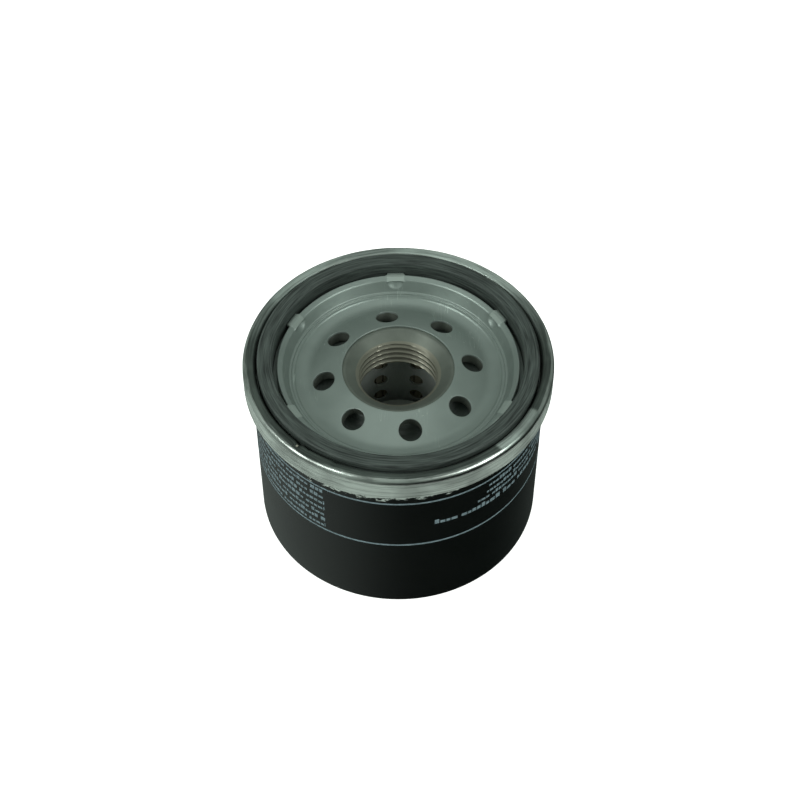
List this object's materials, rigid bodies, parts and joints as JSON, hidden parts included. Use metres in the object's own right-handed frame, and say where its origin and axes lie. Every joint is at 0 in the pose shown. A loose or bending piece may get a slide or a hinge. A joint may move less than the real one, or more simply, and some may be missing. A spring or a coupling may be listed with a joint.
{
  "type": "oil filter",
  "caption": "Short spin-on oil filter: black drawn can, seamed lid with inlet holes round a threaded centre, rubber sealing ring, pleated element and valves inside.",
  "frame": {"origin": "on the filter's axis, at the middle of the can's flat foot", "axes": "+Z along the axis from the closed end of the can to the threaded end with the gasket; +X and +Y are free, with one inlet hole at 9 degrees from +X"},
  "size_m": [0.0686, 0.0686, 0.049],
  "materials": {
    "can_enamel": "satin black stoving enamel on drawn steel",
    "zinc_sheet": "bright zinc plated thin steel sheet",
    "raw_steel": "oiled raw pressed steel",
    "nitrile_rubber": "lightly greased nitrile rubber",
    "lining_compound": "cured seaming compound",
    "valve_rubber": "matt nitrile rubber",
    "cap_steel": "tinplate",
    "filter_paper": "resin impregnated pleated paper",
    "plastisol": "cured plastisol",
    "valve_steel": "zinc plated pressed steel",
    "spring_steel": "oil tempered spring wire"
  },
  "bodies": {
    "housing": {"can": "can_enamel", "lid": "zinc_sheet", "base_plate": "raw_steel", "sealing_gasket": "nitrile_rubber", "seam_compound": "lining_compound", "element_spring": "spring_steel"},
    "element": {"upper_end_cap": "cap_steel", "lower_end_cap": "cap_steel", "centre_tube": "cap_steel", "filter_media": "filter_paper", "media_seam_clip": "cap_steel", "lower_potting": "plastisol", "upper_potting": "plastisol", "bypass_seat": "valve_steel", "bypass_cage": "valve_steel", "bypass_spring": "spring_steel"},
    "bypass_valve": {"bypass_poppet": "valve_steel", "bypass_seal": "valve_rubber"},
    "drainback_flap": {"drainback_valve": "valve_rubber"}
  },
  "joints": [
    {"name": "element_float", "type": "slide", "parent": "housing", "child": "element", "axis": [0, 0, 1], "range_m": [-0.001, 0], "stiffness_N_per_m": 2000, "deforming": ["element_spring"]},
    {"name": "bypass_lift", "type": "slide", "parent": "element", "child": "bypass_valve", "axis": [0, 0, 1], "range_m": [0, 0.0025], "stiffness_N_per_m": 200, "deforming": ["bypass_spring"]},
    {"name": "drainback_lift", "type": "slide", "parent": "housing", "child": "drainback_flap", "axis": [0, 0, 1], "range_m": [-0.0008, 0], "stiffness_N_per_m": 100, "deforming": ["drainback_valve"]}
  ]
}
